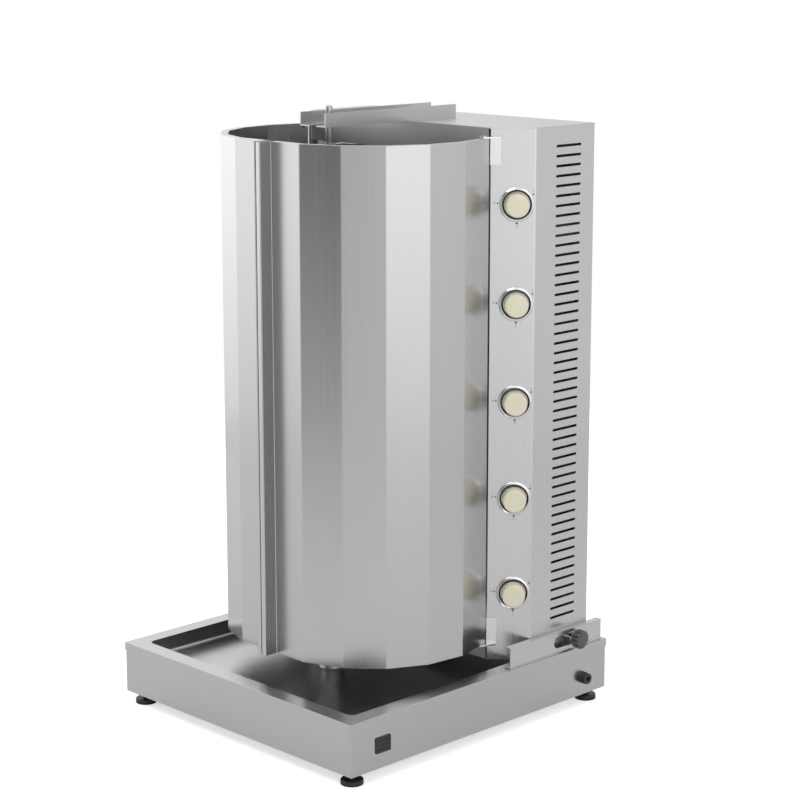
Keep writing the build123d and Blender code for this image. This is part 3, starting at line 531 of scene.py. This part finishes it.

# Gas tap rings. A dished chrome ring is pressed into the knob panel for each of the five burners.
# Its low faces round the tap inside it are painted black, a painted shade in the recess.
tap_places = [sum(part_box(f"knob_cap_{n}"), Vector()) / 2 for n in range(1, 6)]
tap_from_corner, panel_angle = 0.02925, math.pi / 4
panel_cos, panel_sin = math.cos(panel_angle), math.sin(panel_angle)
panel_middle = Vector((half_width - tap_from_corner * panel_cos,
                       corner_y - tap_from_corner * panel_sin, 0))
panel_out = Vector((panel_sin, -panel_cos, 0))
panel_turn = Matrix(((panel_cos, 0, panel_out.x), (panel_sin, 0, panel_out.y), (0, 1, 0))).to_4x4()
recess_radius, recess_rise = 0.0233, 0.0034

skin, skin_in, skin_out = effect_group(
    "moulded_skin",
    [("Vector", "Vector"), ("Plastic", "Color"), ("Speckle", "Float"), ("Roughness", "Float")],
    [("Color", "Color"), ("Roughness", "Float"), ("Normal", "Vector")])
patches = shader_node(skin, "ShaderNodeTexNoise", {"Scale": 60, "Detail": 3})
uneven = shader_node(skin, "ShaderNodeMapRange",
                     {"From Min": 0.3, "From Max": 0.7, "To Min": -1.0, "To Max": 1.0})
shade = shader_node(skin, "ShaderNodeMath", {2: 1.0}, operation="MULTIPLY_ADD")
tint = shader_node(skin, "ShaderNodeVectorMath", operation="SCALE")
gloss = shader_node(skin, "ShaderNodeMapRange", {"To Min": -0.05, "To Max": 0.07})
rough = shader_node(skin, "ShaderNodeMath", operation="ADD")
pebbles = shader_node(skin, "ShaderNodeTexNoise", {"Scale": 1400, "Detail": 2})
pebbling = shader_node(skin, "ShaderNodeBump", {"Strength": 0.12, "Distance": 0.00015})
skin.links.new(skin_in.outputs["Vector"], patches.inputs["Vector"])
skin.links.new(skin_in.outputs["Vector"], pebbles.inputs["Vector"])
skin.links.new(patches.outputs["Fac"], uneven.inputs["Value"])
skin.links.new(uneven.outputs["Result"], shade.inputs[0])
skin.links.new(skin_in.outputs["Speckle"], shade.inputs[1])
skin.links.new(skin_in.outputs["Plastic"], tint.inputs[0])
skin.links.new(shade.outputs[0], tint.inputs["Scale"])
skin.links.new(tint.outputs[0], skin_out.inputs["Color"])
skin.links.new(patches.outputs["Fac"], gloss.inputs["Value"])
skin.links.new(gloss.outputs["Result"], rough.inputs[0])
skin.links.new(skin_in.outputs["Roughness"], rough.inputs[1])
skin.links.new(rough.outputs[0], skin_out.inputs["Roughness"])
skin.links.new(pebbles.outputs["Fac"], pebbling.inputs["Height"])
skin.links.new(pebbling.outputs["Normal"], skin_out.inputs["Normal"])


def moulded(name, plastic, roughness, speckle=0.03, coat=0.0):
    """A moulded plastic: slightly uneven tone, fine leathery grain and a soft gloss."""
    material, surface = effect_material(name, skin, {
        "Plastic": (*plastic, 1), "Speckle": speckle, "Roughness": roughness})
    surface.inputs["Coat Weight"].default_value = coat
    surface.inputs["Coat Roughness"].default_value = 0.12
    return material


chrome = brushed_metal("ring_chrome", (0.74, 0.74, 0.76), 0.07, (60.0, 60.0, 60.0), streaks=0.02,
                       depth=0.0)
# The ring recess material is painted shade: a black plastic put on the low faces inside each ring,
# where there is only shade.
recess_painted_shade = moulded("ring_recess_painted_shade", (0.035, 0.034, 0.030), 0.45)


def on_panel(piece, height, lift=0.0):
    """Stand a piece that was made flat at the origin on the knob panel, at this height."""
    middle = panel_middle + panel_out * lift + Vector((0, 0, height))
    piece.data.transform(Matrix.Translation(middle) @ panel_turn)


def turned_ring(name, profile, steps=96):
    """A ring spun from its section about the Z axis."""
    bpy.ops.object.select_all(action="DESELECT")
    bpy.ops.mesh.primitive_circle_add(vertices=len(profile), fill_type="NOTHING")
    piece = settled(name)
    for v, (r, z) in zip(piece.data.vertices, profile):
        v.co = (r, 0, z)
    bpy.ops.object.mode_set(mode="EDIT")
    bpy.ops.mesh.select_all(action="SELECT")
    bpy.ops.mesh.spin(steps=steps, angle=2 * math.pi, center=(0, 0, 0), axis=(0, 0, 1))
    bpy.ops.mesh.select_all(action="SELECT")
    bpy.ops.mesh.remove_doubles(threshold=1e-6)
    bpy.ops.mesh.normals_make_consistent(inside=False)
    bpy.ops.object.mode_set(mode="OBJECT")
    return piece


def copies(piece, name):
    """The piece and its copies, one for each tap."""
    piece.name = piece.data.name = f"{name}_1"
    return [piece] + [copied_piece(piece, f"{name}_{n}") for n in range(2, len(tap_places) + 1)]


def in_recess(face):
    """True for the faces low inside a ring, round its tap, which are painted black as painted
    shade.
    """
    offset = face.center - panel_middle
    offset.z -= min((tap.z for tap in tap_places), key=lambda z: abs(z - face.center.z))
    rise = offset.dot(panel_out)
    return (offset - panel_out * rise).length < recess_radius and rise < recess_rise


ring_section = [(0.0209, 0.0), (0.0279, 0.0), (0.0280, 0.0004), (0.0280, 0.0017), (0.0277, 0.0024),
                (0.0270, 0.0029), (0.0250, 0.0038), (0.0243, 0.0041), (0.0238, 0.0040),
                (0.0234, 0.0034), (0.0228, 0.0021), (0.0220, 0.0013), (0.0209, 0.0011)]
rings = copies(turned_ring("chrome_ring", ring_section), "chrome_ring")
for ring, tap in zip(rings, tap_places):
    on_panel(ring, tap.z)
all_rings = join(*rings)
all_rings.name = "chrome_rings"
finish_shading(all_rings, 50)
place_piece(all_rings, chrome, "housing", "chromed_rings", "knob_bezels")
# The low faces inside each ring are painted black as painted shade in the recess.
dress_faces(all_rings, recess_painted_shade, in_recess)

# Gas tap knobs. A moulded ivory cap with a rounded rim and a thumb flat on each side is pushed on
# the stem of each tap, in the middle of its ring.
cap_radius, cap_tip, cap_length, cap_lift = 0.0198, 0.0186, 0.020, 0.005
cap_rim, cap_edge, flat_depth, cut_over = 0.003, 0.0007, 0.0014, 0.001
ivory = moulded("ivory_plastic", (0.77, 0.73, 0.56), 0.34, coat=0.15)

bpy.ops.object.select_all(action="DESELECT")
bpy.ops.mesh.primitive_cylinder_add(vertices=96, radius=cap_radius, depth=cap_length,
                                    location=(0, 0, cap_length / 2))
ivory_cap = settled("ivory_cap")
for v in ivory_cap.data.vertices:
    if v.co.z > cap_length / 2:
        v.co.xy *= cap_tip / cap_radius
pick(ivory_cap, "EDGE", lambda a, b: min(a.z, b.z) > cap_length - near)
bpy.ops.mesh.bevel(offset=cap_rim, segments=6, affect="EDGES")
bpy.ops.object.mode_set(mode="OBJECT")
bpy.ops.object.select_all(action="DESELECT")
bpy.ops.mesh.primitive_cube_add(size=1, location=(0, -cap_radius / 2 - cut_over, cap_length / 2))
flats = settled("thumb_flats",
                (5 * cap_length, cap_radius + 2 * cut_over, cap_length + 2 * cut_over))
bpy.ops.object.select_all(action="DESELECT")
bpy.ops.mesh.primitive_cube_add(size=1, location=(0, -cap_radius / 2, cap_length / 2))
core = settled("cap_core", (2 * (cap_radius - flat_depth), 3 * cap_radius, 2 * cap_length))
apply_modifier(flats, "BOOLEAN", operation="DIFFERENCE", object=core, solver="EXACT")
apply_modifier(ivory_cap, "BOOLEAN", operation="DIFFERENCE", object=flats, solver="EXACT")
bpy.data.objects.remove(flats)
bpy.data.objects.remove(core)
round_edges(ivory_cap, cap_edge, 24)
for number, (cap, tap) in enumerate(zip(copies(ivory_cap, "ivory_cap"), tap_places), start=1):
    on_panel(cap, tap.z, cap_lift)
    finish_shading(cap, 40)
    place_piece(cap, ivory, f"tap_knob_{number}", "ivory_caps", f"knob_cap_{number}")

# Printed marks. Beside each ring the panel carries a dot for closed, a triangle for lighting and
# one for full flame, each with a plain number, in black print that stands a hair over the steel.
mark_black = moulded("mark_print", (0.012, 0.012, 0.012), 0.5)
mark_lift, number_size, upwards = 0.00006, 0.0052, math.radians(90)


def printed(name, vertices, radius, spot, turn=0.0):
    """A printed dot or triangle, made flat at the origin and moved to its spot beside the ring."""
    bpy.ops.object.select_all(action="DESELECT")
    bpy.ops.mesh.primitive_circle_add(vertices=vertices, radius=radius, fill_type="NGON",
                                      location=(*spot, mark_lift / 2), rotation=(0, 0, turn))
    mark = settled(name)
    draw_up(mark, mark_lift)
    return mark


def printed_number(text, spot):
    """A printed number, centred on its spot."""
    bpy.ops.object.select_all(action="DESELECT")
    bpy.ops.object.text_add(location=(0, 0, 0))
    number = bpy.context.object
    number.data.body = text
    number.data.size = number_size
    number.data.align_x = number.data.align_y = "CENTER"
    number.data.extrude = mark_lift / 2
    number.data.resolution_u = 3
    bpy.ops.object.convert(target="MESH")
    number = bpy.context.object
    number.data.transform(Matrix.Translation((*spot, mark_lift)))
    return number


tap_marks = join(printed("mark_closed", 16, 0.0013, (-0.0308, 0.0020)),
                 printed("mark_light", 3, 0.0021, (0.0262, 0.0165), upwards),
                 printed("mark_full", 3, 0.0026, (0.0, -0.0302), upwards),
                 printed_number("0", (-0.0358, 0.0020)),
                 printed_number("1", (0.0262, 0.0214)),
                 printed_number("2", (0.0, -0.0353)))
marks = copies(tap_marks, "tap_marks")
for mark, tap in zip(marks, tap_places):
    on_panel(mark, tap.z)
all_marks = join(*marks)
all_marks.name = "panel_marks"
place_piece(all_marks, mark_black, "housing", "black_plastic")

# Drip tray. A basin pressed in 1.5 mm stainless sheet, with a flat lip, a turned-down edge and a
# raised collar in the middle, through which the drive of the spit comes up.
tray_x, tray_y, lip, lip_top = 0.2795, 0.2985, 0.029, 0.106
tray_floor, tray_fold, tray_sheet, basin_corner = 0.080, 0.014, 0.0015, 0.012
basin_round, tray_edge = 0.004, 0.0006
spit_y, collar_bore, collar_wall, collar_rise = -0.0785, 0.016, 0.005, 0.018
collar_low, collar_high = tray_floor - tray_sheet, tray_floor + collar_rise
collar_out, collar_foot = collar_bore + collar_wall, collar_bore + 0.008
collar_section = [(collar_bore, collar_low), (collar_foot, collar_low),
                  (collar_foot, tray_floor + 0.0002), (collar_out + 0.001, tray_floor + 0.001),
                  (collar_out, tray_floor + 0.003), (collar_out, collar_high - 0.002),
                  (collar_out - 0.002, collar_high), (collar_bore, collar_high)]

bpy.ops.object.select_all(action="DESELECT")
bpy.ops.mesh.primitive_plane_add(size=2, location=(0, 0, lip_top))
tray = settled("pressed_drip_tray", (tray_x, tray_y, 1))
bpy.ops.object.mode_set(mode="EDIT")
bpy.ops.mesh.select_all(action="SELECT")
bpy.ops.mesh.inset(thickness=lip, use_even_offset=True)
bpy.ops.mesh.extrude_region_move(TRANSFORM_OT_translate={"value": (0, 0, tray_floor - lip_top)})
bpy.ops.object.mode_set(mode="OBJECT")
pick(tray, "EDGE", lambda a, b: (min(a.z, b.z) > lip_top - near
                                 and (abs(a.x + b.x) / 2 > tray_x - near
                                      or abs(a.y + b.y) / 2 > tray_y - near)))
bpy.ops.mesh.extrude_edges_move(TRANSFORM_OT_translate={"value": (0, 0, -tray_fold)})
bpy.ops.object.mode_set(mode="OBJECT")
pick(tray, "EDGE", lambda a, b: abs(a.z - b.z) > (tray_fold + lip_top - tray_floor) / 2)
bpy.ops.mesh.bevel(offset=basin_corner, segments=8, affect="EDGES")
bpy.ops.object.mode_set(mode="OBJECT")
pick(tray, "EDGE", lambda a, b: max(a.z, b.z) < tray_floor + near)
bpy.ops.mesh.bevel(offset=basin_round, segments=3, affect="EDGES")
bpy.ops.object.mode_set(mode="OBJECT")
apply_modifier(tray, "SOLIDIFY", thickness=tray_sheet, offset=-1, use_even_offset=True)
round_edges(tray, tray_edge, 50)
collar = turned_ring("tray_collar", collar_section, 64)
collar.data.transform(Matrix.Translation((0, spit_y, 0)))
bpy.ops.object.select_all(action="DESELECT")
bpy.ops.mesh.primitive_cylinder_add(vertices=64, radius=collar_bore, depth=20 * tray_sheet,
                                    location=(0, spit_y, tray_floor))
bore = settled("collar_bore")
apply_modifier(tray, "BOOLEAN", operation="DIFFERENCE", object=bore, solver="EXACT")
bpy.data.objects.remove(bore)
tray = join(tray, collar)
finish_shading(tray, 40)
place_piece(tray, tray_steel, "base", "stainless_sheet", "drip_tray")

# Clamp knobs. A dark grey hand knob with twelve flutes and a hub screws down on the rail, on a
# bright stud that stands in the housing's side.
clamp_low, clamp_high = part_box("clamp_knob_right")
clamp_middle = (clamp_low + clamp_high) / 2
hub_radius, hub_length, head_radius, head_length = 0.010, 0.005, 0.016, 0.0165
flutes, flute_depth, flute_power = 12, 0.0026, 1.2
stud_hole, hole_depth, knob_end = 0.0040, 0.004, hub_length + head_length
knob_section = [
    (stud_hole, 0.0), (hub_radius - 0.0008, 0.0), (hub_radius, 0.0008), (hub_radius, hub_length),
    (head_radius - 0.0030, hub_length + 0.0003), (head_radius - 0.0006, hub_length + 0.0018),
    (head_radius, hub_length + 0.0035), (head_radius - 0.0002, knob_end - 0.0030),
    (head_radius - 0.0022, knob_end - 0.0008), (head_radius - 0.0050, knob_end),
    (0.0001, knob_end), (0.0001, knob_end - hole_depth), (stud_hole, knob_end - hole_depth)]
grey_plastic = moulded("grey_plastic", (0.075, 0.075, 0.078), 0.30, speckle=0.08, coat=0.3)
knob = turned_ring("clamp_knob_r", knob_section)
for v in knob.data.vertices:
    radius = v.co.xy.length
    if v.co.z > hub_length and radius > hub_radius:
        angle = math.atan2(v.co.y, v.co.x)
        depth = max(0.0, math.cos(flutes * angle)) ** flute_power * flute_depth
        v.co.xy *= (radius - depth) / radius
knob.data.transform(Matrix.Translation((clamp_low.x, clamp_middle.y, clamp_middle.z))
                    @ Matrix.Rotation(math.pi / 2, 4, "Y"))
knob_left = mirrored_piece(knob, "clamp_knob_l")
finish_shading(knob, 45)
finish_shading(knob_left, 45)
place_piece(knob, grey_plastic, "clamp_right", "grey_plastic", "clamp_knob_right")
place_piece(knob_left, grey_plastic, "clamp_left", "grey_plastic", "clamp_knob_left")
for clamp_piece in (knob, knob_left):
    dress_faces(clamp_piece, chrome, lambda face: abs(face.center.x) < clamp_low.x + hub_length)

# Hinge plates. A flat steel leaf is welded on the knob panel at each end of a shield, with a lug
# under or over the shield that carries the hinge pin.
leaf_width, leaf_height, leaf_sheet, leaf_relief = 0.017, 0.045, 0.0015, 0.0008
lug_sheet, lug_gap, lug_end, lug_side, lug_front = 0.0025, 0.0004, 0.007, 0.006, 0.008
pin_x, pin_y, leaf_edge = 0.209752, 0.059581, 0.0003
along, out = Vector((panel_cos, panel_sin)), panel_out.xy
corner = Vector((hinge_x, hinge_y))
plate_steel = brushed_metal("plate_steel", (0.76, 0.76, 0.755), 0.20, upright_grain, streaks=0.03)


def leaf_slab(name, start, end, low_out, high_out, low, high):
    """One layer of a leaf, between two places along the panel and two heights over it."""
    outline = [corner + along * start + out * low_out, corner + along * start + out * high_out,
               corner + along * end + out * high_out, corner + along * end + out * low_out]
    return flat_plate(name, [tuple(point) for point in outline], low, high)


def hinge_plate(name, lug_low, leaf_low):
    """A leaf with its relieved back and its lug, for the right-hand side."""
    leaf_high, end = leaf_low + leaf_height, corner + along * leaf_width
    back = leaf_slab("leaf_back", leaf_relief, leaf_width - leaf_relief, 0.0, leaf_relief,
                     leaf_low + leaf_relief, leaf_high - leaf_relief)
    face = leaf_slab("leaf_face", 0.0, leaf_width, leaf_relief, leaf_sheet, leaf_low, leaf_high)
    tip = leaf_sheet / panel_cos
    lug_outline = [(end.x, end.y - tip), (corner.x, corner.y - tip / 2),
                   (pin_x - lug_end, pin_y + lug_side), (pin_x - lug_end, pin_y - lug_side),
                   (pin_x - lug_side / 2, pin_y - lug_front), (pin_x + lug_side, pin_y - lug_front),
                   (end.x + lug_front / 2, end.y - tip - lug_front / 2)]
    lug = flat_plate("hinge_lug", lug_outline, lug_low, lug_low + lug_sheet)
    plate = join(face, back, lug)
    plate.name = plate.data.name = name
    round_edges(plate, leaf_edge, 40)
    return plate


low_lug, high_lug = door_low - lug_gap - lug_sheet, door_high + lug_gap
plates = [hinge_plate("hinge_plate_low", low_lug, low_lug),
          hinge_plate("hinge_plate_high", high_lug, high_lug + lug_sheet - leaf_height)]
plates += [mirrored_piece(plate, f"{plate.name}_left") for plate in plates]
all_plates = join(*plates)
all_plates.name = all_plates.data.name = "hinge_leaves"
finish_shading(all_plates, 35)
place_piece(all_plates, plate_steel, "housing", "stainless_sheet", "hinge_plates")

# Solid parts that need no finer shape than their CAD form get their real finish here: the turned
# and machined pieces, the tubes, the sheet metal inside and the plastics.
turned_steel = brushed_metal("turned_steel", (0.56, 0.56, 0.56), 0.22, (500.0, 500.0, 40.0))
dark_steel = brushed_metal("burner_steel_sheet", (0.40, 0.385, 0.37), 0.34, grain_along_x,
                           streaks=0.16)
zinc = brushed_metal("zinc_tube", (0.60, 0.61, 0.63), 0.36, (90.0, 90.0, 90.0), streaks=0.14)
brass = brushed_metal("machined_brass", (0.73, 0.55, 0.27), 0.26, (160.0, 160.0, 160.0),
                      streaks=0.08)
motor_paint = moulded("motor_paint", (0.16, 0.17, 0.18), 0.45)
black_plastic = moulded("black_plastic", (0.022, 0.022, 0.023), 0.38, speckle=0.10)
finishes = {
    body_steel: ["back_panel", "burner_rack"],
    lid_steel: ["top_cover", "guide_arm", "housing_floor", "base_cover"],
    tray_steel: ["base_box"],
    rail_steel: ["guide_rail_right", "guide_rail_left"],
    turned_steel: ["spit", "spit_socket", "meat_plate", "drive_gear", "drive_pinion",
                   "motor_bracket", "hinge_pins", "clamp_studs", "burner_guards", "body_screws",
                   "base_screws", *[f"valve_stem_{n}" for n in range(1, 6)],
                   *[f"push_collar_{n}" for n in range(1, 6)]],
    dark_steel: [f"burner_{n}" for n in range(1, 6)],
    zinc: ["gas_manifold"],
    brass: ["gas_valves", "feed_pipes", "gas_inlet", "socket_bearing"],
    motor_paint: ["drive_motor"],
    black_plastic: ["feet", "power_inlet", "switch_frame", "switch_rocker"],
}
for material, names in finishes.items():
    for name in names:
        dress(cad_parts[name], material)

# Ceramic plaques. Each burner has four pressed ceramic plaques, with fine flame holes all over in
# close rows. The holes are not cut: they are painted near black, a painted shade in each hole, with
# a bump at their edges.
plaque_ceramic = bpy.data.materials.new("plaque_ceramic")
plaque_ceramic.use_nodes = True
clay_tree = plaque_ceramic.node_tree
surface = clay_tree.nodes["Principled BSDF"]
surface.inputs["Roughness"].default_value = 0.85
place = shader_node(clay_tree, "ShaderNodeTexCoord")
holes = shader_node(clay_tree, "ShaderNodeTexVoronoi", {"Scale": 330, "Randomness": 0.0})
hole_edge = shader_node(clay_tree, "ShaderNodeMapRange", {"From Min": 0.24, "From Max": 0.34})
patch = shader_node(clay_tree, "ShaderNodeTexNoise", {"Scale": 40})
clay = shader_node(clay_tree, "ShaderNodeValToRGB")
clay.color_ramp.elements[0].color = (0.66, 0.58, 0.48, 1)
clay.color_ramp.elements[1].color = (0.82, 0.77, 0.68, 1)
# The flame holes are painted near black, as painted shade inside the holes.
hole_painted_shade = shader_node(clay_tree, "ShaderNodeMix", {"A": (0.05, 0.04, 0.035, 1)}, data_type="RGBA")
bump = shader_node(clay_tree, "ShaderNodeBump", {"Strength": 0.6, "Distance": 0.0008})
clay_tree.links.new(place.outputs["Object"], holes.inputs["Vector"])
clay_tree.links.new(place.outputs["Object"], patch.inputs["Vector"])
clay_tree.links.new(holes.outputs["Distance"], hole_edge.inputs["Value"])
clay_tree.links.new(patch.outputs["Fac"], clay.inputs[0])
clay_tree.links.new(hole_edge.outputs["Result"], hole_painted_shade.inputs["Factor"])
clay_tree.links.new(clay.outputs["Color"], hole_painted_shade.inputs["B"])
clay_tree.links.new(hole_painted_shade.outputs["Result"], surface.inputs["Base Color"])
clay_tree.links.new(hole_edge.outputs["Result"], bump.inputs["Height"])
clay_tree.links.new(bump.outputs["Normal"], surface.inputs["Normal"])
dress(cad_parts["ceramic_plaques"], plaque_ceramic)
